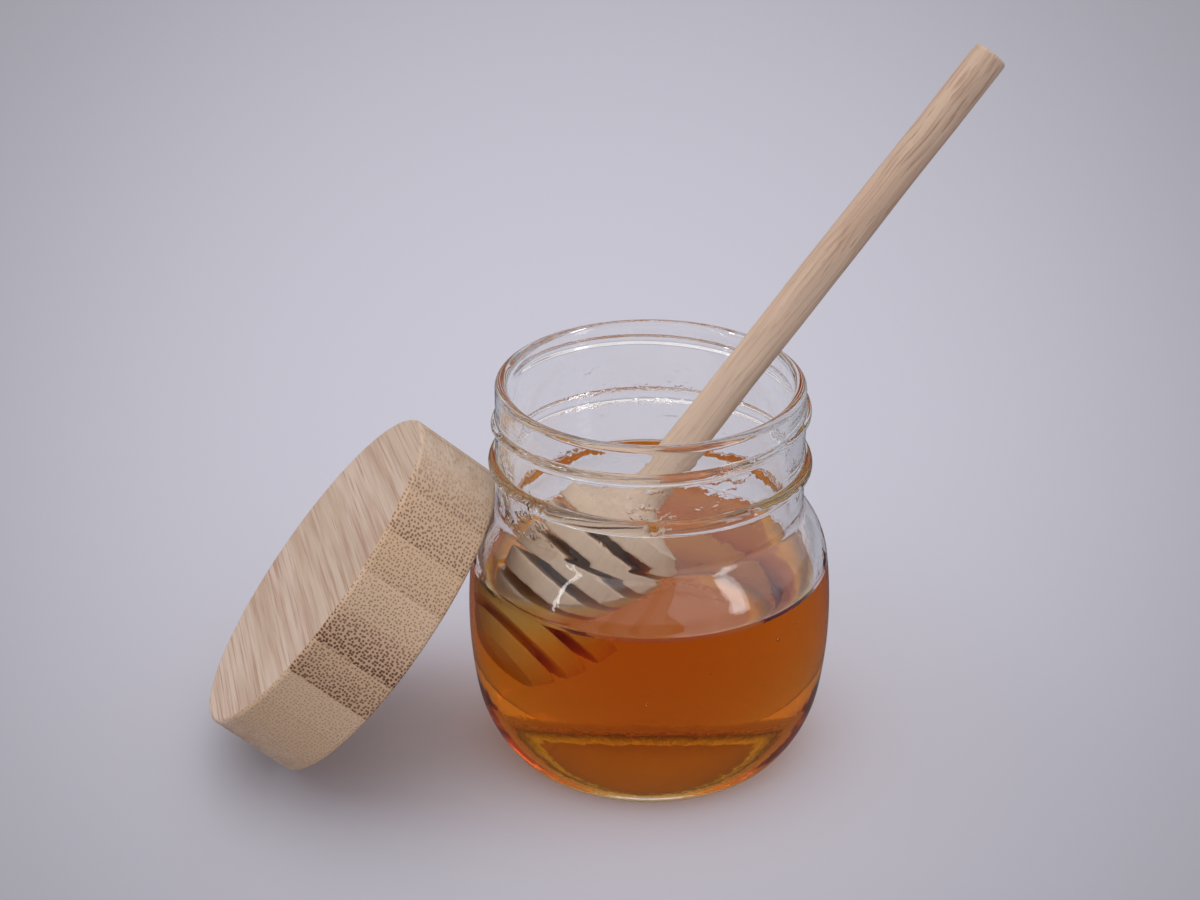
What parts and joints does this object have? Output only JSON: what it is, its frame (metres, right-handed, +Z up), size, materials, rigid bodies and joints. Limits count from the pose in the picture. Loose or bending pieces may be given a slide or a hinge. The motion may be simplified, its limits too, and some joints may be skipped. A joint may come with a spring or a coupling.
{
  "type": "honey jar",
  "caption": "Belly-shaped clear glass jar with a screw neck, filled with honey, a wooden honey dipper standing in it and its round bamboo screw cap leaned against the neck.",
  "frame": {"origin": "centre of the ring the jar stands on, on the table", "axes": "+Z up along the jar's axis, -X towards the leaning cap, -Y towards the front"},
  "size_m": [0.1761, 0.0848, 0.1512],
  "materials": {
    "glass": "clear and smooth",
    "honey": "clear amber liquid with a still, glossy surface",
    "pale_wood": "turned and sanded, bare",
    "bamboo": "laminated strips, satin"
  },
  "bodies": {
    "root": {"jar": "glass", "honey": "honey", "dipper": "pale_wood", "cap": "bamboo"}
  },
  "joints": []
}
